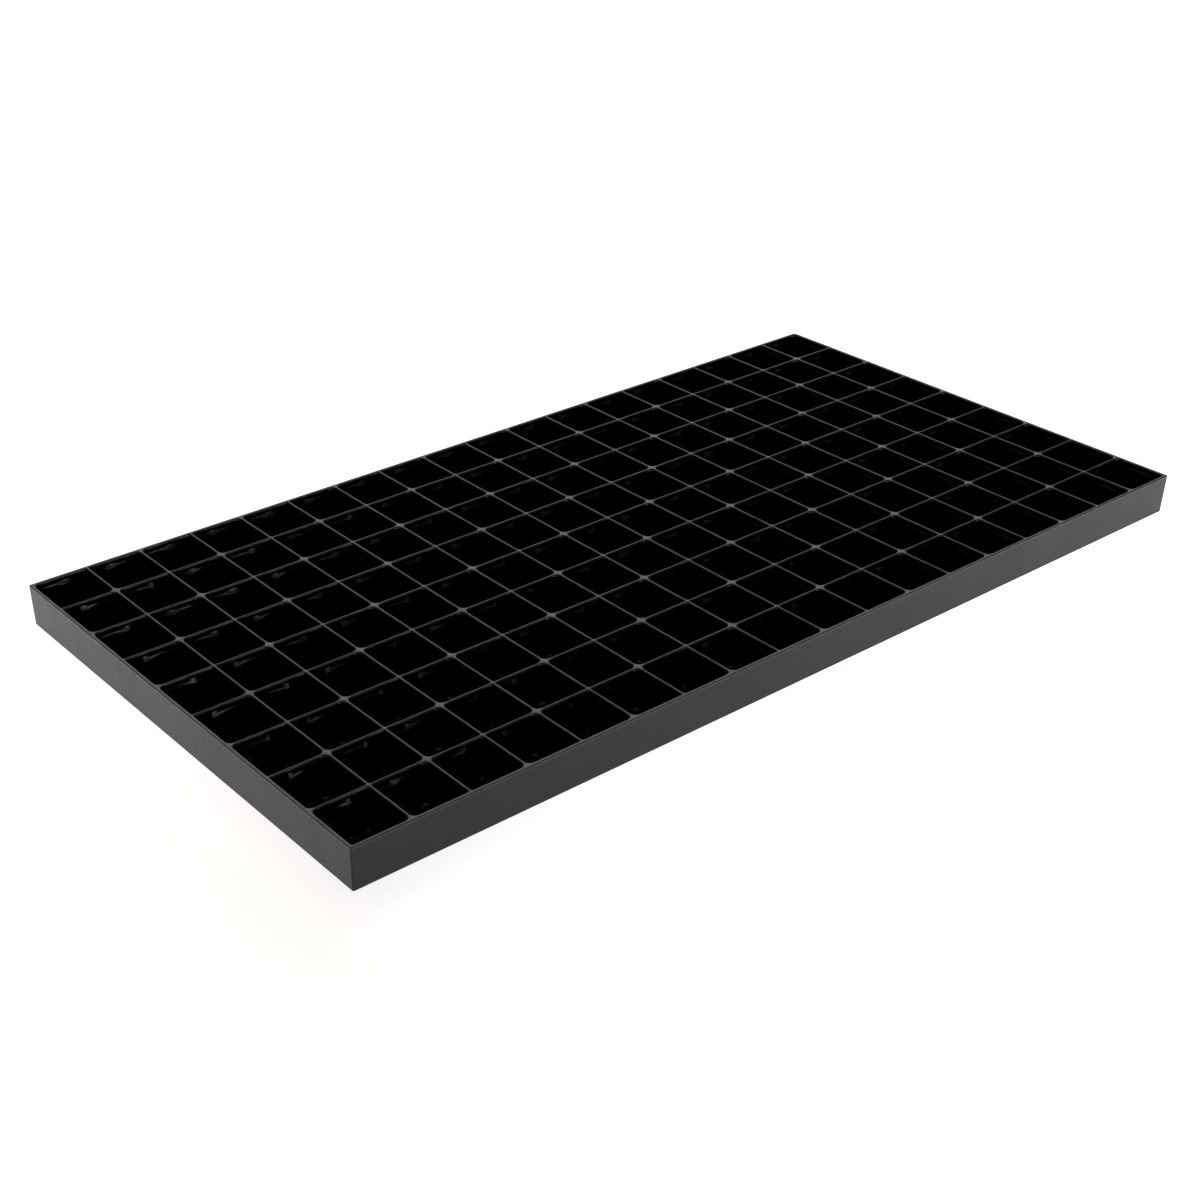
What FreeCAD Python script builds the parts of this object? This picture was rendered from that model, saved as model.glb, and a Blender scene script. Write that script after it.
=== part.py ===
import FreeCAD, Part
import math
import os

# Plug tray: one thin black plastic sheet, vacuum-formed into a grid of tapered cells inside a plain
# skirt. The sheet is cut here where it folds, so that each web, rim, skirt, row of floors and row of
# outer cell walls is a node of its own, and neighbours meet face to face.
# X runs along the tray, Y across it from front to rear, Z up. The origin is at the middle of the
# tray, on the surface that the skirt stands on. Millimetres.

# Outside of the tray, at its top edge.
TRAY_LENGTH = 540.0
TRAY_WIDTH = 280.0
TRAY_HEIGHT = 21.6

# Grid of cells.
CELLS_ALONG = 18
CELLS_ACROSS = 9
WEB_TOP = 1.5           # flat top between two neighbouring cells
RIM_TOP = 1.85          # flat top between the edge cells and the outside of the tray
WALL_LEAN = 5.0         # degrees that each cell wall leans out from upright
FLOOR_RISE = 1.0        # clear height under a cell's floor, so that the cell can drain
DRAIN_HOLE = 6.0        # diameter

# Thickness of the sheet, which is drawn thinner where it is drawn deeper.
SHEET = 0.8             # top faces and skirt
CELL_WALL = 0.4
CELL_FLOOR = 0.5

# How far the skirt's lower edge stands in from its top edge, on each side.
SKIRT_DRAFT = 0.5

# Length by which a cutting shape runs past what it cuts.
OVERRUN = 5.0

CELL_LENGTH = (TRAY_LENGTH - 2 * RIM_TOP - (CELLS_ALONG - 1) * WEB_TOP) / CELLS_ALONG
CELL_WIDTH = (TRAY_WIDTH - 2 * RIM_TOP - (CELLS_ACROSS - 1) * WEB_TOP) / CELLS_ACROSS
PITCH_ALONG = CELL_LENGTH + WEB_TOP
PITCH_ACROSS = CELL_WIDTH + WEB_TOP
SLOPE = math.tan(math.radians(WALL_LEAN))
WALL_RUN = CELL_WALL / math.cos(math.radians(WALL_LEAN))    # wall thickness, measured level
UNDER_TOP = TRAY_HEIGHT - SHEET                             # underside of the top faces
FLOOR_TOP = FLOOR_RISE + CELL_FLOOR


def cell_x(column):
    """Middle of a column of cells, counted from 0 at the left."""
    return (column - (CELLS_ALONG - 1) / 2) * PITCH_ALONG


def cell_y(row):
    """Middle of a row of cells, counted from 0 at the front."""
    return (row - (CELLS_ACROSS - 1) / 2) * PITCH_ACROSS


def lean(z):
    """How far a cell wall has come into the cell at height z."""
    return (TRAY_HEIGHT - z) * SLOPE


def skirt_inset(z):
    """How far the skirt's outside stands in from the top edge at height z."""
    return SKIRT_DRAFT * (TRAY_HEIGHT - z) / TRAY_HEIGHT


def prism_along_y(profile, y_low, y_high):
    """Solid with an X-Z profile, from y_low to y_high."""
    points = [FreeCAD.Vector(x, y_low, z) for x, z in profile]
    face = Part.Face(Part.makePolygon(points + points[:1]))
    return face.extrude(FreeCAD.Vector(0, y_high - y_low, 0))


def prism_along_x(profile, x_low, x_high):
    """Solid with a Y-Z profile, from x_low to x_high."""
    points = [FreeCAD.Vector(x_low, y, z) for y, z in profile]
    face = Part.Face(Part.makePolygon(points + points[:1]))
    return face.extrude(FreeCAD.Vector(x_high - x_low, 0, 0))


def rectangle(half_length, half_width, z):
    corners = [(-1, -1), (1, -1), (1, 1), (-1, 1)]
    points = [FreeCAD.Vector(sx * half_length, sy * half_width, z) for sx, sy in corners]
    return Part.makePolygon(points + points[:1])


def tapered_block(inset, z_low, z_high):
    """Solid inside the skirt's outside face moved in by inset, from z_low to z_high."""
    outlines = []
    for z in (z_low, z_high):
        back = inset + skirt_inset(z)
        outlines.append(rectangle(TRAY_LENGTH / 2 - back, TRAY_WIDTH / 2 - back, z))
    return Part.makeLoft(outlines, True, True)


def opening_profile(half_top, z_low):
    """Profile of the open space between two facing cell walls, which narrows downwards."""
    half_low = half_top - lean(z_low)
    return [(-half_low, z_low), (half_low, z_low), (half_top, TRAY_HEIGHT), (-half_top, TRAY_HEIGHT)]


def web_hollow_profile():
    """Profile of the gap under a web, between the backs of its two walls."""
    half_low = WEB_TOP / 2 + lean(0) - WALL_RUN
    half_high = WEB_TOP / 2 + lean(UNDER_TOP) - WALL_RUN
    return [(-half_low, 0), (half_low, 0), (half_high, UNDER_TOP), (-half_high, UNDER_TOP)]


def web_profile():
    """Profile of a web: a flat top with a cell wall hanging from each side of it."""
    foot = WEB_TOP / 2 + lean(FLOOR_RISE)
    back_foot = foot - WALL_RUN
    back_head = WEB_TOP / 2 + lean(UNDER_TOP) - WALL_RUN
    right = [(back_head, UNDER_TOP), (back_foot, FLOOR_RISE), (foot, FLOOR_RISE), (WEB_TOP / 2, TRAY_HEIGHT)]
    left = [(-across, z) for across, z in reversed(right)]
    return right + left


def rim_top_profile(outside):
    """Profile of a rim's flat top, with the outside of the tray at -outside and the cells beyond."""
    edge = -outside + RIM_TOP
    lower_edge = edge + lean(UNDER_TOP)
    lower_outside = -outside + skirt_inset(UNDER_TOP)
    return [(-outside, TRAY_HEIGHT), (edge, TRAY_HEIGHT), (lower_edge, UNDER_TOP), (lower_outside, UNDER_TOP)]


def rim_wall_profile(outside):
    """Profile of the cell wall under a rim's flat top."""
    head = -outside + RIM_TOP + lean(UNDER_TOP)
    foot = -outside + RIM_TOP + lean(FLOOR_RISE)
    return [(head, UNDER_TOP), (foot, FLOOR_RISE), (foot - WALL_RUN, FLOOR_RISE), (head - WALL_RUN, UNDER_TOP)]


def front_block():
    """Solid that the front rim and all that is outside its cell walls lie in."""
    outside = TRAY_WIDTH / 2
    edge = -outside + RIM_TOP
    profile = [
        (-outside - OVERRUN, 0),
        (edge + lean(0) - WALL_RUN, 0),
        (edge + lean(UNDER_TOP) - WALL_RUN, UNDER_TOP),
        (edge + lean(UNDER_TOP), UNDER_TOP),
        (edge, TRAY_HEIGHT),
        (-outside - OVERRUN, TRAY_HEIGHT),
    ]
    return prism_along_x(profile, -TRAY_LENGTH / 2 - OVERRUN, TRAY_LENGTH / 2 + OVERRUN)


def moved(shape, x, y):
    copy = shape.copy()
    copy.translate(FreeCAD.Vector(x, y, 0))
    return copy


def turned_round(shape):
    """The same solid on the opposite side of the tray."""
    copy = shape.copy()
    copy.rotate(FreeCAD.Vector(0, 0, 0), FreeCAD.Vector(0, 0, 1), 180)
    return copy


def between_front_and_rear(shape):
    """Trim a strip that runs across the tray to the front and rear rims and their cell walls."""
    return shape.cut([front_block(), turned_round(front_block())]).removeSplitter()


def opened_at_long_webs(shape):
    """Take the gap under each long web out of a strip that runs across the tray."""
    hollow = prism_along_x(web_hollow_profile(), -TRAY_LENGTH / 2, TRAY_LENGTH / 2)
    return shape.cut([moved(hollow, 0, cell_y(row) + PITCH_ACROSS / 2) for row in range(CELLS_ACROSS - 1)])


def column_space():
    """Open space over one column of cells, at x = 0, down to the underside of the floors."""
    profile = opening_profile(CELL_LENGTH / 2, FLOOR_RISE)
    return prism_along_y(profile, -TRAY_WIDTH / 2, TRAY_WIDTH / 2)


def cross_web():
    """Web between two columns of cells, at x = 0, from the front rim to the rear rim."""
    web = prism_along_y(web_profile(), -TRAY_WIDTH / 2, TRAY_WIDTH / 2)
    return opened_at_long_webs(between_front_and_rear(web))


def long_web_length():
    """Web between two rows of cells, at y = 0, as long as one cell at x = 0."""
    web = prism_along_x(web_profile(), -PITCH_ALONG / 2, PITCH_ALONG / 2)
    return web.common(column_space())


def cell_floor():
    """Floor of one cell, at x = y = 0, with its drain hole."""
    row_profile = opening_profile(CELL_WIDTH / 2, FLOOR_RISE)
    row_space = prism_along_x(row_profile, -PITCH_ALONG / 2, PITCH_ALONG / 2)
    slab = Part.makeBox(PITCH_ALONG, PITCH_ACROSS, CELL_FLOOR)
    slab.translate(FreeCAD.Vector(-PITCH_ALONG / 2, -PITCH_ACROSS / 2, FLOOR_RISE))
    hole = Part.makeCylinder(DRAIN_HOLE / 2, CELL_FLOOR + 2 * OVERRUN)
    hole.translate(FreeCAD.Vector(0, 0, FLOOR_RISE - OVERRUN))
    return slab.common(column_space()).common(row_space).cut(hole)


def left_rim():
    """Flat top along the left edge, between the front and the rear rim."""
    top = prism_along_y(rim_top_profile(TRAY_LENGTH / 2), -TRAY_WIDTH / 2, TRAY_WIDTH / 2)
    return between_front_and_rear(top)


def left_cell_walls():
    """Outer walls of the left column's cells, one length for each row."""
    wall = prism_along_y(rim_wall_profile(TRAY_LENGTH / 2), -TRAY_WIDTH / 2, TRAY_WIDTH / 2)
    return opened_at_long_webs(between_front_and_rear(wall))


def front_rim():
    """Flat top along the front edge, corners included."""
    top = prism_along_x(rim_top_profile(TRAY_WIDTH / 2), -TRAY_LENGTH / 2, TRAY_LENGTH / 2)
    return top.common(tapered_block(0, UNDER_TOP, TRAY_HEIGHT))


def front_cell_walls():
    """Outer walls of the front row's cells, one length for each column."""
    wall = prism_along_x(rim_wall_profile(TRAY_WIDTH / 2), -PITCH_ALONG / 2, PITCH_ALONG / 2)
    cell_wall = wall.common(column_space())
    return Part.makeCompound([moved(cell_wall, cell_x(column), 0) for column in range(CELLS_ALONG)])


def skirts():
    """The front and the left skirt, mitred where they meet."""
    band = tapered_block(0, 0, UNDER_TOP).cut(tapered_block(SHEET, 0, UNDER_TOP))
    corner = (-TRAY_LENGTH / 2 - OVERRUN, -TRAY_WIDTH / 2 - OVERRUN)
    mitre = TRAY_WIDTH / 2 + OVERRUN
    inner = (corner[0] + mitre, 0)
    front_part = [corner, (-corner[0], corner[1]), (-inner[0], 0), inner]
    left_part = [corner, inner, (corner[0], -corner[1])]
    sides = []
    for outline in (front_part, left_part):
        points = [FreeCAD.Vector(x, y, 0) for x, y in outline]
        face = Part.Face(Part.makePolygon(points + points[:1]))
        sides.append(band.common(face.extrude(FreeCAD.Vector(0, 0, UNDER_TOP))))
    return sides


def tray_nodes():
    """Every node's solids, by the node's name."""
    nodes = {}
    sides = {
        "skirt": skirts(),
        "rim": (front_rim(), left_rim()),
        "cell_walls": (front_cell_walls(), left_cell_walls()),
    }
    for part, (front, left) in sides.items():
        nodes["front_" + part] = [front]
        nodes["rear_" + part] = [turned_round(front)]
        nodes["left_" + part] = [left]
        nodes["right_" + part] = [turned_round(left)]

    web = cross_web()
    for column in range(CELLS_ALONG - 1):
        x = cell_x(column) + PITCH_ALONG / 2
        nodes[f"cross_web_{column + 1:02d}"] = [moved(web, x, 0)]

    web = long_web_length()
    for row in range(CELLS_ACROSS - 1):
        y = cell_y(row) + PITCH_ACROSS / 2
        lengths = [moved(web, cell_x(column), y) for column in range(CELLS_ALONG)]
        nodes[f"long_web_{row + 1}"] = lengths

    floor = cell_floor()
    for row in range(CELLS_ACROSS):
        floors = [moved(floor, cell_x(column), cell_y(row)) for column in range(CELLS_ALONG)]
        nodes[f"cell_floors_row_{row + 1}"] = floors
    return nodes


os.makedirs("parts", exist_ok=True)
NODES = tray_nodes()
for name, pieces in NODES.items():
    solids = [solid for piece in pieces for solid in piece.Solids]
    Part.makeCompound(solids).exportStep(f"parts/{name}.step")
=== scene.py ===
import math
import bmesh
import bpy
from mathutils import Matrix, Vector


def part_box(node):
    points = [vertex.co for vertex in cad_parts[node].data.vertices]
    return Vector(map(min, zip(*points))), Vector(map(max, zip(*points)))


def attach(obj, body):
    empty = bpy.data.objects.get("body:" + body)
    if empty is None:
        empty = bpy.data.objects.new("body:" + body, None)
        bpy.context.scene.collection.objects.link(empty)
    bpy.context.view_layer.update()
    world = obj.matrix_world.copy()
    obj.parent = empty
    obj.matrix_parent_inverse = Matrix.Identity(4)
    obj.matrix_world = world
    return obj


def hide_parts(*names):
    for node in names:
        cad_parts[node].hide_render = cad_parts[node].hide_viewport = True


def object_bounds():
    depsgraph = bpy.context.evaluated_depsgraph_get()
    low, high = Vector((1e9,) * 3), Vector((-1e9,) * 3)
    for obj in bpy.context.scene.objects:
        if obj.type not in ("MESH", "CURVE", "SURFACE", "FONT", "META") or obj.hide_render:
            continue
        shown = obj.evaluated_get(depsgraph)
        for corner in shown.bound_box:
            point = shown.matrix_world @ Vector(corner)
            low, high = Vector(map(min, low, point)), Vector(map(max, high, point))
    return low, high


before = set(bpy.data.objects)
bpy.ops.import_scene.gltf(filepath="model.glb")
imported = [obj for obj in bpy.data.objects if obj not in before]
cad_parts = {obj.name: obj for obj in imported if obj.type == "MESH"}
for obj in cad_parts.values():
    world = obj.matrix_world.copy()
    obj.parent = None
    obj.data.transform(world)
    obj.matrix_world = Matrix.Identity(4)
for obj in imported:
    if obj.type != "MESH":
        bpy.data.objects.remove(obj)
CAD_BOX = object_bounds()

# ---- Sizes read from the frame, in metres ----

LOW, HIGH = (Vector(corner) for corner in CAD_BOX)
LENGTH, WIDTH, TOP = HIGH.x - LOW.x, HIGH.y - LOW.y, HIGH.z
COLUMNS = 1 + sum(name.startswith("cross_web_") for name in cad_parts)
ROWS = sum(name.startswith("cell_floors_row_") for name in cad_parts)


def middle_of(node):
    low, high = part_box(node)
    return (low + high) / 2


PITCH_X = middle_of("cross_web_02").x - middle_of("cross_web_01").x
PITCH_Y = middle_of("long_web_2").y - middle_of("long_web_1").y
FLOOR_LOW, FLOOR_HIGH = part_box("cell_floors_row_1")
FLOOR_TOP = FLOOR_HIGH.z
FLOOR_WIDTH = FLOOR_HIGH.y - FLOOR_LOW.y
FLOOR_LENGTH = FLOOR_HIGH.x - FLOOR_LOW.x - (COLUMNS - 1) * PITCH_X

# ---- Finish sizes, in metres ----

WEB_TOP = 0.0015                    # flat top between two cells, folds included
BIG_CORNER = 0.0030                 # plan radius of a cell's corner at every other crossing
SMALL_CORNER = 0.0009               # and at the crossings between them
CORNER_STEPS = 4                    # even, so that a square corner keeps its point
WALL_CUTS = 2                       # cuts in the straight stretch of each wall
TOP_FOLD = 0.00070                  # fold between a web's top and a cell's wall
TOP_FOLD_STEPS = 2
RIPPLE_LENGTH = 0.0042              # the one ripple that the cooling sheet leaves below each fold
RIPPLE_HEIGHT = 0.00043
RIPPLE_STEPS = 4
FLOOR_FOLD = 0.0010                 # fold between a wall and its floor
FLOOR_FOLD_TURNS = [math.radians(turn) for turn in (0, 45, 90)]
SEAM_RISE = 0.0022                  # height above the floor where the webs take over from the floors
DRAIN_RADIUS = 0.0030
DRAIN_DROP = 0.0050                 # how far below the floor the drain's circle waits until it is bridged
CELL_SHEET = 0.00040                # thickness of the cells' sheet
TRAY_CORNER = 0.0009                # plan radius of the tray's own corners
RIM_FOLD = 0.0003                   # fold between the rim and the skirt
RIM_FOLD_STEPS = 3
RIM_DEPTH = 0.0012                  # depth below the top where skirts and cell walls take over from the rims
SKIRT_DRAFT = 0.0005                # how far the skirt's lower edge stands in
SKIRT_SHEET = 0.0008                # thickness of the skirt's sheet
SMOOTH_ANGLE = math.radians(40)     # faces that meet at less than this are shaded as one curve
HAIR = 0.00001                      # two places nearer than this are the same place

CELL_LENGTH = PITCH_X - WEB_TOP
CELL_WIDTH = PITCH_Y - WEB_TOP
GRID_LENGTH = COLUMNS * PITCH_X
GRID_WIDTH = ROWS * PITCH_Y
SEAM_Z = FLOOR_TOP + SEAM_RISE
RIM_LOW = TOP - RIM_DEPTH


# ---- Bench work ----

def new_skin():
    """Start an empty piece at the origin, in edit mode."""
    bpy.ops.object.select_all(action="DESELECT")
    bpy.ops.object.add(type="MESH", enter_editmode=True, location=(0, 0, 0))


def select_alone(piece):
    bpy.ops.object.select_all(action="DESELECT")
    bpy.context.view_layer.objects.active = piece
    piece.select_set(True)


def open_piece(piece):
    """Go into edit mode on one piece alone."""
    select_alone(piece)
    bpy.ops.object.mode_set(mode="EDIT")


def close_piece():
    """Leave edit mode, and hand back the piece that was open."""
    bpy.ops.object.mode_set(mode="OBJECT")
    return bpy.context.active_object


def pick(kind, wanted):
    """Select what passes the test: a face by its middle, an edge by both its ends, a vertex by its place."""
    bpy.ops.mesh.select_mode(type=kind)
    bpy.ops.mesh.select_all(action="DESELECT")
    mesh = bmesh.from_edit_mesh(bpy.context.edit_object.data)
    if kind == "FACE":
        chosen = [face for face in mesh.faces if wanted(face.calc_center_median())]
    elif kind == "EDGE":
        chosen = [edge for edge in mesh.edges if all(wanted(end.co) for end in edge.verts)]
    else:
        chosen = [vertex for vertex in mesh.verts if wanted(vertex.co)]
    for part in chosen:
        part.select_set(True)
    mesh.select_flush_mode()
    bmesh.update_edit_mesh(bpy.context.edit_object.data)


def pick_long_edges(limit):
    """Select the edges that are longer than a limit."""
    bpy.ops.mesh.select_mode(type="EDGE")
    bpy.ops.mesh.select_all(action="DESELECT")
    mesh = bmesh.from_edit_mesh(bpy.context.edit_object.data)
    for edge in mesh.edges:
        edge.select_set(edge.calc_length() > limit)
    bmesh.update_edit_mesh(bpy.context.edit_object.data)


def at_height(z):
    """A test for pick: is the place at this height?"""
    return lambda point: abs(point.z - z) < HAIR


def add_outline(length, width, corners, square=False):
    """Add a flat outline at the top, with its corners rounded, or left square with as many points."""
    bpy.ops.mesh.primitive_plane_add(size=2, location=(0, 0, TOP))
    bpy.ops.transform.resize(value=(length / 2, width / 2, 1), center_override=(0, 0, TOP))
    for side_x, side_y, radius in corners:
        at = Vector((side_x * length / 2, side_y * width / 2, TOP))
        pick("VERT", lambda point: (point - at).length < HAIR)
        bpy.ops.mesh.bevel(
            offset=radius, segments=CORNER_STEPS, affect="VERTICES", profile=1.0 if square else 0.5
        )
    pick("FACE", at_height(TOP))
    bpy.ops.mesh.delete(type="ONLY_FACE")
    pick_long_edges(length / 2)
    bpy.ops.mesh.subdivide(number_cuts=WALL_CUTS)


def draw_edges(depth, scale_x, scale_y):
    """Draw the selected edges down, and in or out from the middle."""
    bpy.ops.mesh.extrude_region_move(TRANSFORM_OT_translate={"value": (0, 0, -depth)})
    bpy.ops.transform.resize(value=(scale_x, scale_y, 1), center_override=(0, 0, 0))


def fold(width, steps):
    """Round off the selected edges."""
    bpy.ops.mesh.bevel(offset=width, segments=steps, affect="EDGES")


# ---- The formed sheet ----

def on_opening(point):
    """Is the place on the edge of the middle cell's opening?"""
    inside = abs(point.x) < CELL_LENGTH / 2 + HAIR and abs(point.y) < CELL_WIDTH / 2 + HAIR
    return inside and point.z > TOP - HAIR


def cell_size_at(depth):
    """How long and wide a cell is at a depth below the top."""
    share = depth / (TOP - FLOOR_TOP)
    into_fold = max(0, depth - (TOP - FLOOR_TOP - FLOOR_FOLD)) / FLOOR_FOLD
    drawn_in = 2 * FLOOR_FOLD * (1 - math.sqrt(1 - min(into_fold, 1) ** 2))
    length = CELL_LENGTH + (FLOOR_LENGTH - CELL_LENGTH) * share - drawn_in
    width = CELL_WIDTH + (FLOOR_WIDTH - CELL_WIDTH) * share - drawn_in
    return length, width


def swell_walls(depth):
    """Push the middle of each wall out, or in, where the ripple is. The corners stay."""
    swell = 2 * RIPPLE_HEIGHT * math.sin(math.tau * (depth - RIM_DEPTH) / RIPPLE_LENGTH)
    length, width = cell_size_at(depth)
    on_ring = at_height(TOP - depth)
    pick("VERT", lambda point: on_ring(point) and abs(point.y) < CELL_WIDTH / 4)
    bpy.ops.transform.resize(value=(1 + swell / length, 1, 1), center_override=(0, 0, 0))
    pick("VERT", lambda point: on_ring(point) and abs(point.x) < CELL_LENGTH / 4)
    bpy.ops.transform.resize(value=(1, 1 + swell / width, 1), center_override=(0, 0, 0))


def model_cell(front_left_is_big):
    """One cell with half of the webs round it, at the middle of the tray, as one skin."""
    diagonal = 1 if front_left_is_big else -1
    radii = {1: BIG_CORNER, -1: SMALL_CORNER}
    corners = [(x, y, radii[x * y * diagonal]) for x in (-1, 1) for y in (-1, 1)]
    new_skin()
    add_outline(PITCH_X, PITCH_Y, [(x, y, radius + WEB_TOP / 2) for x, y, radius in corners], square=True)
    add_outline(CELL_LENGTH, CELL_WIDTH, corners)
    bpy.ops.mesh.select_all(action="SELECT")
    bpy.ops.mesh.bridge_edge_loops()

    # The walls, ring by ring: through the ripple, to the seam, and round the fold into the floor.
    pick("EDGE", on_opening)
    ripple = [RIM_DEPTH + RIPPLE_LENGTH * step / RIPPLE_STEPS for step in range(RIPPLE_STEPS + 1)]
    foot = [TOP - FLOOR_TOP - FLOOR_FOLD * (1 - math.sin(turn)) for turn in FLOOR_FOLD_TURNS]
    above, length, width = 0, CELL_LENGTH, CELL_WIDTH
    for depth in ripple + [TOP - SEAM_Z] + foot:
        next_length, next_width = cell_size_at(depth)
        draw_edges(depth - above, next_length / length, next_width / width)
        above, length, width = depth, next_length, next_width
    for depth in ripple:
        swell_walls(depth)

    # The floor, bridged to the drain while its circle is lower, which pairs their points the right way round.
    points = 4 * (CORNER_STEPS + 1 + WALL_CUTS)
    bpy.ops.mesh.primitive_circle_add(
        vertices=points, radius=DRAIN_RADIUS, fill_type="NOTHING", location=(0, 0, FLOOR_TOP - DRAIN_DROP),
        rotation=(0, 0, math.pi / points)
    )
    pick("EDGE", lambda point: point.z < FLOOR_TOP + HAIR)
    bpy.ops.mesh.bridge_edge_loops()
    pick("VERT", at_height(FLOOR_TOP - DRAIN_DROP))
    bpy.ops.transform.translate(value=(0, 0, DRAIN_DROP))

    pick("EDGE", on_opening)
    fold(TOP_FOLD, TOP_FOLD_STEPS)
    bpy.ops.mesh.select_all(action="SELECT")
    bpy.ops.mesh.normals_make_consistent(inside=False)
    return close_piece()


def copy_to(piece, x, y):
    """A copy with its own mesh, moved to a place in the grid."""
    copy = piece.copy()
    copy.data = piece.data.copy()
    copy.data.transform(Matrix.Translation((x, y, 0)))
    bpy.context.collection.objects.link(copy)
    return copy


def join_cells():
    """All the cells side by side, as one skin."""
    kinds = [model_cell(False), model_cell(True)]
    cells = []
    for column in range(COLUMNS):
        for row in range(ROWS):
            x = (column - (COLUMNS - 1) / 2) * PITCH_X
            y = (row - (ROWS - 1) / 2) * PITCH_Y
            cells.append(copy_to(kinds[(column + row) % 2], x, y))
    for kind in kinds:
        bpy.data.objects.remove(kind)
    bpy.ops.object.select_all(action="DESELECT")
    for cell in cells:
        cell.select_set(True)
    bpy.context.view_layer.objects.active = cells[0]
    bpy.ops.object.join()
    return bpy.context.active_object


def outside_grid(point):
    """Is the place on the border, outside the cells and their webs?"""
    return abs(point.x) > GRID_LENGTH / 2 + HAIR or abs(point.y) > GRID_WIDTH / 2 + HAIR


def add_border():
    """Draw the sheet's edge outwards, round its corners, draw it down into the skirt and fold it."""
    def on_grid_edge(point):
        return not (abs(point.x) < GRID_LENGTH / 2 - HAIR and abs(point.y) < GRID_WIDTH / 2 - HAIR)

    def on_mitre(point):
        beyond_x, beyond_y = abs(point.x) - GRID_LENGTH / 2, abs(point.y) - GRID_WIDTH / 2
        return beyond_x > -HAIR and abs(beyond_x - beyond_y) < HAIR

    def on_rim_edge(point):
        return outside_grid(point) and point.z > TOP - HAIR

    pick("EDGE", on_grid_edge)
    draw_edges(0, LENGTH / GRID_LENGTH, WIDTH / GRID_WIDTH)
    pick("EDGE", on_mitre)
    bpy.ops.mesh.dissolve_edges(use_verts=False)
    pick("VERT", lambda point: on_mitre(point) and outside_grid(point))
    bpy.ops.mesh.bevel(offset=TRAY_CORNER, segments=CORNER_STEPS, affect="VERTICES")

    rim_inset = SKIRT_DRAFT * RIM_DEPTH / TOP
    rim_length, rim_width = LENGTH - 2 * rim_inset, WIDTH - 2 * rim_inset
    pick("EDGE", on_rim_edge)
    draw_edges(RIM_DEPTH, rim_length / LENGTH, rim_width / WIDTH)
    draw_edges(RIM_LOW, (LENGTH - 2 * SKIRT_DRAFT) / rim_length, (WIDTH - 2 * SKIRT_DRAFT) / rim_width)
    pick("EDGE", on_rim_edge)
    fold(RIM_FOLD, RIM_FOLD_STEPS)


def form_sheet():
    """The whole tray as one skin, faces up and out."""
    sheet = join_cells()
    open_piece(sheet)
    bpy.ops.mesh.select_all(action="SELECT")
    bpy.ops.mesh.remove_doubles(threshold=HAIR)
    add_border()
    bpy.ops.mesh.select_all(action="SELECT")
    bpy.ops.mesh.normals_make_consistent(inside=False)
    close_piece()
    highest = max(sheet.data.polygons, key=lambda face: (round(face.center.z, 5), face.area))
    if highest.normal.z < 0:
        sheet.data.flip_normals()
    return sheet


# ---- Cutting the sheet into its named pieces ----

def side_of(point):
    """The side of the tray that a point of the border is on. The front and the rear keep the corners."""
    if abs(point.y) > WIDTH / 2 - TRAY_CORNER - HAIR:
        return "front" if point.y < 0 else "rear"
    return "left" if point.x < 0 else "right"


def nearest_line(place, grid_size, pitch):
    """The number of the web line within a quarter pitch of a place, counted from the grid's edge, or None."""
    steps = (place + grid_size / 2) / pitch
    number = round(steps)
    return number if abs(steps - number) < 1 / 4 else None


def node_of(point):
    """The node that a face of the sheet belongs to, by its middle."""
    if outside_grid(point):
        return side_of(point) + ("_rim" if point.z > RIM_LOW else "_skirt")
    if point.z < SEAM_Z:
        return f"cell_floors_row_{int((point.y + GRID_WIDTH / 2) / PITCH_Y) + 1}"
    part = "_rim" if point.z > RIM_LOW else "_cell_walls"
    column_line = nearest_line(point.x, GRID_LENGTH, PITCH_X)
    if column_line is None:
        row_line = nearest_line(point.y, GRID_WIDTH, PITCH_Y)
        ends = {0: "front" + part, ROWS: "rear" + part}
        return ends.get(row_line, f"long_web_{row_line}")
    ends = {0: "left" + part, COLUMNS: "right" + part}
    return ends.get(column_line, f"cross_web_{column_line:02d}")


def cut_out(sheet, node):
    """Cut one node's faces out of the sheet, as a piece of its own."""
    open_piece(sheet)
    pick("FACE", lambda point: node_of(point) == node)
    bpy.ops.mesh.separate(type="SELECTED")
    close_piece()
    piece = next(part for part in bpy.context.selected_objects if part is not sheet)
    piece.name = piece.data.name = "formed_" + node
    return piece


def thicken(piece, thickness):
    """Give the skin its thickness, behind it."""
    select_alone(piece)
    solidify = piece.modifiers.new("sheet", "SOLIDIFY")
    solidify.thickness = thickness
    solidify.offset = -1
    solidify.use_even_offset = True
    bpy.ops.object.modifier_apply(modifier=solidify.name)
    bpy.ops.object.shade_smooth_by_angle(angle=SMOOTH_ANGLE)


def build_tray():
    """Form the sheet, cut it into its pieces, and give each its thickness and its finish."""
    effects = sheet_grain(), edge_rub(), dust_specks()
    finishes = {
        "cell_plastic": (glossy_cell_plastic(*effects), CELL_SHEET),
        "skirt_plastic": (satin_skirt_plastic(*effects), SKIRT_SHEET),
    }
    sheet = form_sheet()
    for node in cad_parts:
        slot = "skirt_plastic" if node.endswith("_skirt") else "cell_plastic"
        material, thickness = finishes[slot]
        piece = cut_out(sheet, node)
        thicken(piece, thickness)
        piece.data.materials.append(material)
        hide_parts(node)
        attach(piece, "root")
    bpy.data.objects.remove(sheet)


# ---- Finishes ----

def add_node(tree, kind, settings=None, **values):
    """Add a node, with its settings and the values of its inputs."""
    node = tree.nodes.new("ShaderNode" + kind)
    for name, value in (settings or {}).items():
        setattr(node, name, value)
    for name, value in values.items():
        node.inputs[name.replace("_", " ")].default_value = value
    return node


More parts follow.
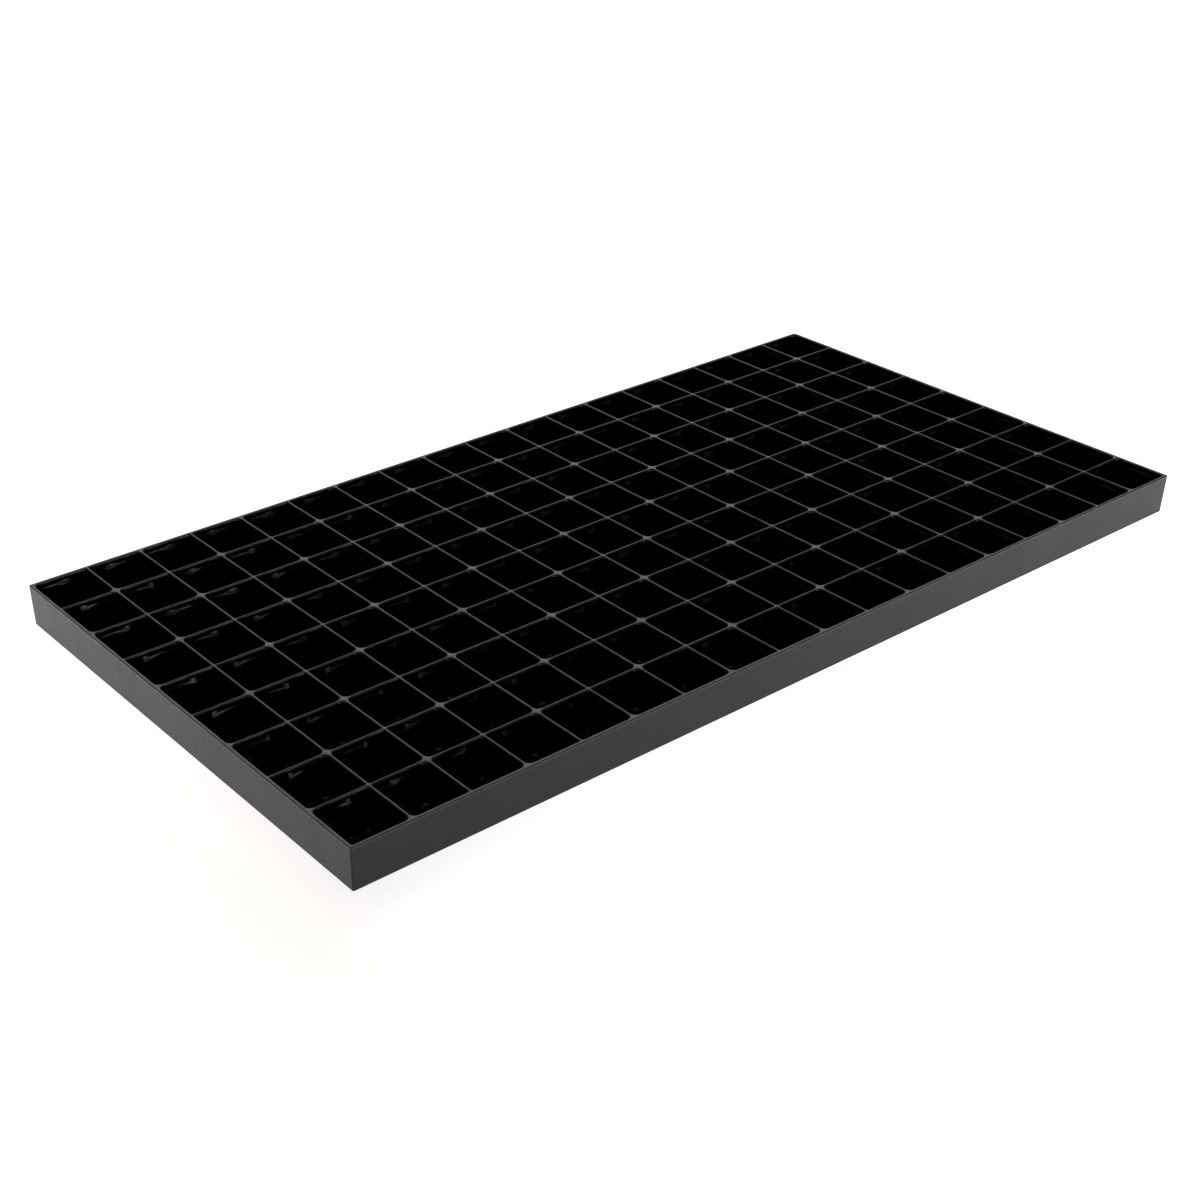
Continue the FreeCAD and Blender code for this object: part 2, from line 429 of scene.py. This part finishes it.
def new_effect(name, inputs, output):
    """Start a node group with number inputs and one number output."""
    group = bpy.data.node_groups.new(name, "ShaderNodeTree")
    for label, value in inputs.items():
        socket = group.interface.new_socket(label, in_out="INPUT", socket_type="NodeSocketFloat")
        socket.default_value = value
    group.interface.new_socket(output, in_out="OUTPUT", socket_type="NodeSocketFloat")
    return group, group.nodes.new("NodeGroupInput"), group.nodes.new("NodeGroupOutput")


def sheet_grain():
    """Noise that the draw of the hot sheet has stretched up and down."""
    group, given, result = new_effect(
        "sheet grain", {"Per Metre": 500, "Stretch": 1, "Detail": 2, "Contrast": 1}, "Height"
    )
    place = add_node(group, "TexCoord")
    upright = add_node(group, "Math", {"operation": "DIVIDE"})
    scales = add_node(group, "CombineXYZ")
    scaled = add_node(group, "VectorMath", {"operation": "MULTIPLY"})
    noise = add_node(group, "TexNoise", Scale=1.0, Roughness=0.55)
    centred = add_node(group, "Math", {"operation": "SUBTRACT"})
    centred.inputs[1].default_value = 0.5
    spread = add_node(group, "Math", {"operation": "MULTIPLY_ADD"})
    spread.inputs[2].default_value = 0.5
    link = group.links.new
    link(given.outputs["Per Metre"], upright.inputs[0])
    link(given.outputs["Stretch"], upright.inputs[1])
    link(given.outputs["Per Metre"], scales.inputs["X"])
    link(given.outputs["Per Metre"], scales.inputs["Y"])
    link(upright.outputs[0], scales.inputs["Z"])
    link(place.outputs["Object"], scaled.inputs[0])
    link(scales.outputs[0], scaled.inputs[1])
    link(scaled.outputs[0], noise.inputs["Vector"])
    link(given.outputs["Detail"], noise.inputs["Detail"])
    link(noise.outputs["Fac"], centred.inputs[0])
    link(centred.outputs[0], spread.inputs[0])
    link(given.outputs["Contrast"], spread.inputs[1])
    link(spread.outputs[0], result.inputs["Height"])
    return group


def edge_rub():
    """Patchy wear that fades from one height to another."""
    group, given, result = new_effect(
        "edge rub", {"Worn Height": 0.02, "Clean Height": 0.01, "Patches Per Metre": 90}, "Wear"
    )
    place = add_node(group, "TexCoord")
    split = add_node(group, "SeparateXYZ")
    fade = add_node(group, "MapRange", {"interpolation_type": "SMOOTHSTEP"})
    noise = add_node(group, "TexNoise", Detail=4.0, Roughness=0.6)
    patches = add_node(group, "MapRange", {"interpolation_type": "SMOOTHSTEP"}, From_Min=0.4, From_Max=0.62)
    both = add_node(group, "Math", {"operation": "MULTIPLY"})
    link = group.links.new
    link(place.outputs["Object"], split.inputs[0])
    link(split.outputs["Z"], fade.inputs["Value"])
    link(given.outputs["Clean Height"], fade.inputs["From Min"])
    link(given.outputs["Worn Height"], fade.inputs["From Max"])
    link(place.outputs["Object"], noise.inputs["Vector"])
    link(given.outputs["Patches Per Metre"], noise.inputs["Scale"])
    link(noise.outputs["Fac"], patches.inputs["Value"])
    link(fade.outputs[0], both.inputs[0])
    link(patches.outputs[0], both.inputs[1])
    link(both.outputs[0], result.inputs["Wear"])
    return group


def dust_specks():
    """Sparse pale specks of dust, in patches."""
    group, given, result = new_effect("dust specks", {"Specks Per Metre": 700, "Speck Size": 0.12}, "Dust")
    place = add_node(group, "TexCoord")
    cells = add_node(group, "TexVoronoi")
    speck = add_node(group, "Math", {"operation": "LESS_THAN"})
    where = add_node(group, "TexNoise", Scale=60.0, Detail=2.0)
    some = add_node(group, "MapRange", From_Min=0.55, From_Max=0.7)
    both = add_node(group, "Math", {"operation": "MULTIPLY"})
    link = group.links.new
    link(place.outputs["Object"], cells.inputs["Vector"])
    link(given.outputs["Specks Per Metre"], cells.inputs["Scale"])
    link(cells.outputs["Distance"], speck.inputs[0])
    link(given.outputs["Speck Size"], speck.inputs[1])
    link(place.outputs["Object"], where.inputs["Vector"])
    link(where.outputs["Fac"], some.inputs["Value"])
    link(speck.outputs[0], both.inputs[0])
    link(some.outputs[0], both.inputs[1])
    link(both.outputs[0], result.inputs["Dust"])
    return group


def add_effect(tree, group, **values):
    """Place a shared effect with its own values, and hand back its output."""
    node = add_node(tree, "Group", {"node_tree": group})
    for name, value in values.items():
        node.inputs[name.replace("_", " ")].default_value = value
    return node.outputs[0]


def mix_colours(tree, mask, first, second):
    """Blend by a mask. Each colour is four numbers, or the output of another blend."""
    mix = add_node(tree, "Mix", {"data_type": "RGBA"})
    tree.links.new(mask, mix.inputs["Factor"])
    for socket, colour in zip((mix.inputs[6], mix.inputs[7]), (first, second)):
        if isinstance(colour, bpy.types.NodeSocket):
            tree.links.new(colour, socket)
        else:
            socket.default_value = colour
    return mix.outputs[2]


def spread_between(tree, mask, low, high):
    """Spread a mask from 0 to 1 between two values."""
    spread = add_node(tree, "MapRange", To_Min=low, To_Max=high)
    tree.links.new(mask, spread.inputs["Value"])
    return spread.outputs[0]


def combine(tree, first, second, operation="ADD"):
    """Join two values by one step of arithmetic."""
    result = add_node(tree, "Math", {"operation": operation})
    tree.links.new(first, result.inputs[0])
    tree.links.new(second, result.inputs[1])
    return result.outputs[0]


def stack_bumps(tree, shader, reliefs):
    """Give the shader's normal one bump on top of another, each with its depth in metres."""
    normal = None
    for height, depth in reliefs:
        bump = add_node(tree, "Bump", Strength=1.0, Distance=depth)
        tree.links.new(height, bump.inputs["Height"])
        if normal:
            tree.links.new(normal, bump.inputs["Normal"])
        normal = bump.outputs["Normal"]
    tree.links.new(normal, shader.inputs["Normal"])


def new_material(name):
    """A new material, its node tree and its shader."""
    material = bpy.data.materials.new(name)
    material.use_nodes = True
    return material, material.node_tree, material.node_tree.nodes["Principled BSDF"]


CELL_RUB_DEPTH = 0.0016             # how far below the top the cells are rubbed
SKIRT_TOP_RUB_DEPTH = 0.0030        # how far below the top the skirt is rubbed
SKIRT_FOOT_RUB_HEIGHT = 0.0028      # and how far above its lower edge
SKIRT_IOR = 1.37


def glossy_cell_plastic(grain, rub, dust):
    """Deep black, glossy from the mould, rubbed a little on the tops of the webs."""
    material, tree, shader = new_material("glossy cell plastic")
    pigment = add_effect(tree, grain, Per_Metre=45, Detail=4, Contrast=1.6)
    draw_lines = add_effect(tree, grain, Per_Metre=420, Stretch=9, Detail=3)
    orange_peel = add_effect(tree, grain, Per_Metre=650, Detail=2)
    waves = add_effect(tree, grain, Per_Metre=85, Stretch=0.6, Detail=1)
    wear = add_effect(tree, rub, Worn_Height=TOP, Clean_Height=TOP - CELL_RUB_DEPTH, Patches_Per_Metre=70)
    specks = add_effect(tree, dust, Specks_Per_Metre=650, Speck_Size=0.10)

    colour = mix_colours(tree, pigment, (0.0022, 0.0016, 0.0015, 1), (0.0042, 0.0031, 0.0029, 1))
    colour = mix_colours(tree, wear, colour, (0.0100, 0.0098, 0.0092, 1))
    colour = mix_colours(tree, specks, colour, (0.0400, 0.0380, 0.0340, 1))
    tree.links.new(colour, shader.inputs["Base Color"])
    gloss = spread_between(tree, draw_lines, 0.09, 0.19)
    rough = combine(tree, gloss, spread_between(tree, wear, 0, 0.12))
    tree.links.new(rough, shader.inputs["Roughness"])
    stack_bumps(tree, shader, [(waves, 0.00060), (draw_lines, 0.00003), (orange_peel, 0.00002)])
    return material


def satin_skirt_plastic(grain, rub, dust):
    """Black with a satin face, rubbed along its top and along the edge that it stands on."""
    material, tree, shader = new_material("satin skirt plastic")
    pigment = add_effect(tree, grain, Per_Metre=30, Stretch=2, Detail=4, Contrast=1.6)
    draw_lines = add_effect(tree, grain, Per_Metre=260, Stretch=14, Detail=4)
    waves = add_effect(tree, grain, Per_Metre=26, Stretch=3, Detail=1)
    leather_grain = add_effect(tree, grain, Per_Metre=1500, Detail=2)
    top_wear = add_effect(
        tree, rub, Worn_Height=TOP, Clean_Height=TOP - SKIRT_TOP_RUB_DEPTH, Patches_Per_Metre=80
    )
    foot_wear = add_effect(
        tree, rub, Worn_Height=0, Clean_Height=SKIRT_FOOT_RUB_HEIGHT, Patches_Per_Metre=160
    )
    specks = add_effect(tree, dust, Specks_Per_Metre=500, Speck_Size=0.10)

    wear = combine(tree, top_wear, foot_wear, "MAXIMUM")
    colour = mix_colours(tree, pigment, (0.0036, 0.0031, 0.0029, 1), (0.0066, 0.0058, 0.0054, 1))
    colour = mix_colours(tree, wear, colour, (0.0180, 0.0165, 0.0155, 1))
    colour = mix_colours(tree, specks, colour, (0.0500, 0.0470, 0.0430, 1))
    tree.links.new(colour, shader.inputs["Base Color"])
    satin = spread_between(tree, draw_lines, 0.24, 0.38)
    rough = combine(tree, satin, spread_between(tree, wear, 0, 0.15))
    tree.links.new(rough, shader.inputs["Roughness"])
    shader.inputs["IOR"].default_value = SKIRT_IOR
    stack_bumps(tree, shader, [(waves, 0.00050), (draw_lines, 0.00004), (leather_grain, 0.00001)])
    return material


# ---- The studio ----

REAR_GLOW = {"azimuth": 52, "elevation": 31, "spread": 31, "strength": 1.20}
FRONT_GLOW = {"azimuth": -86, "elevation": 1, "spread": 28, "strength": 2.0}
ROOM_LIGHT = 0.10                   # brightness of the walls outside the two glows
CEILING_LIGHT = 0.25
CEILING_SPREAD = math.radians(100)
FLOOR_SIZE = 6
GLOW_NEAR, GLOW_FAR = 0.80, 1.30    # brightness of the table at the tray's front left corner, and further off
GLOW_REACH = 0.55                   # how far from that corner the table is at its brightest
WARM_BAND = 0.03                    # width of the change from the warm tint on the left to the plain one
SHADE_INSET, SHADE_SOFTNESS = 0.001, 0.003      # the dark under the tray, inside its outline
CAMERA_PLACE = (-0.5968, -0.6527, 0.4665)
CAMERA_TURN = [math.radians(turn) for turn in (61.08, 0.47, -38.46)]
CAMERA_SENSOR, CAMERA_LENS, CAMERA_SHIFT = 36, 57.02, 0.0818


def toward(azimuth, elevation):
    """The direction at an azimuth, turned from +X towards +Y, and an elevation, in degrees."""
    turn, rise = math.radians(azimuth), math.radians(elevation)
    return Vector((math.cos(rise) * math.cos(turn), math.cos(rise) * math.sin(turn), math.sin(rise)))


def add_glow(tree, azimuth, elevation, spread, strength):
    """A soft patch of light on the studio's walls, fading over an angle from its middle."""
    place = add_node(tree, "TexCoord")
    facing = add_node(tree, "VectorMath", {"operation": "DOT_PRODUCT"})
    facing.inputs[1].default_value = toward(azimuth, elevation)
    fade = add_node(tree, "MapRange", {"interpolation_type": "SMOOTHSTEP"})
    fade.inputs["From Min"].default_value = math.cos(math.radians(spread))
    fade.inputs["To Max"].default_value = strength
    tree.links.new(place.outputs["Generated"], facing.inputs[0])
    tree.links.new(facing.outputs["Value"], fade.inputs["Value"])
    return fade.outputs[0]


def build_walls():
    """Dim walls all round, with a glow behind the tray on the right and one in front of it."""
    world = bpy.data.worlds.new("studio walls")
    bpy.context.scene.world = world
    world.use_nodes = True
    tree = world.node_tree
    rear = add_glow(tree, **REAR_GLOW)
    front = add_glow(tree, **FRONT_GLOW)
    both = combine(tree, rear, front)
    room = add_node(tree, "Math", {"operation": "ADD"})
    room.inputs[1].default_value = ROOM_LIGHT
    tree.links.new(both, room.inputs[0])
    tree.nodes["Background"].inputs["Color"].default_value = (1, 1, 1, 1)
    tree.links.new(room.outputs[0], tree.nodes["Background"].inputs["Strength"])


def light_table():
    """A pale floor lit from below, but dark under the tray. It is dimmest at the tray's front left corner."""
    material, tree, shader = new_material("light table")
    shader.inputs["Base Color"].default_value = (0.85, 0.85, 0.85, 1)
    shader.inputs["Roughness"].default_value = 0.9
    link = tree.links.new
    place = add_node(tree, "TexCoord")
    sides = add_node(tree, "SeparateXYZ")
    to_right = add_node(tree, "MapRange", From_Min=-LENGTH / 2 - WARM_BAND, From_Max=-LENGTH / 2)
    link(place.outputs["Object"], sides.inputs[0])
    link(sides.outputs["X"], to_right.inputs["Value"])
    tint = mix_colours(tree, to_right.outputs[0], (1, 0.92, 0.87, 1), (1, 0.98, 0.97, 1))
    link(tint, shader.inputs["Emission Color"])
    away = add_node(tree, "VectorMath", {"operation": "DISTANCE"})
    away.inputs[1].default_value = (-LENGTH / 2, -WIDTH / 2, 0)
    glow = add_node(tree, "MapRange", From_Max=GLOW_REACH, To_Min=GLOW_NEAR, To_Max=GLOW_FAR)
    folded = add_node(tree, "VectorMath", {"operation": "ABSOLUTE"})
    beyond = add_node(tree, "VectorMath", {"operation": "SUBTRACT"})
    beyond.inputs[1].default_value = (LENGTH / 2, WIDTH / 2, 0)
    split = add_node(tree, "SeparateXYZ")
    uncovered = add_node(
        tree, "MapRange", From_Min=-SHADE_INSET - SHADE_SOFTNESS, From_Max=-SHADE_INSET
    )
    link(place.outputs["Object"], away.inputs[0])
    link(away.outputs["Value"], glow.inputs["Value"])
    link(place.outputs["Object"], folded.inputs[0])
    link(folded.outputs[0], beyond.inputs[0])
    link(beyond.outputs[0], split.inputs[0])
    link(combine(tree, split.outputs["X"], split.outputs["Y"], "MAXIMUM"), uncovered.inputs["Value"])
    link(combine(tree, glow.outputs[0], uncovered.outputs[0], "MULTIPLY"), shader.inputs["Emission Strength"])
    return material


def build_studio():
    """The floor, the walls and one wide, soft light from above."""
    bpy.ops.object.select_all(action="DESELECT")
    bpy.ops.mesh.primitive_plane_add(size=FLOOR_SIZE, location=(0, 0, 0))
    floor = bpy.context.active_object
    floor.name = "studio_floor"
    floor.data.materials.append(light_table())
    build_walls()

    bpy.ops.object.light_add(type="SUN", location=(0, 0, 2))
    light = bpy.context.active_object
    light.name = "ceiling_light"
    light.data.energy = CEILING_LIGHT
    light.data.angle = CEILING_SPREAD


def build_camera():
    data = bpy.data.cameras.new("camera")
    camera = bpy.data.objects.new("camera", data)
    bpy.context.collection.objects.link(camera)
    camera.location = CAMERA_PLACE
    camera.rotation_euler = CAMERA_TURN
    data.sensor_width = CAMERA_SENSOR
    data.lens = CAMERA_LENS
    data.shift_x = CAMERA_SHIFT
    bpy.context.scene.camera = camera


build_tray()
build_studio()
build_camera()
bpy.context.scene.view_settings.view_transform = "Standard"
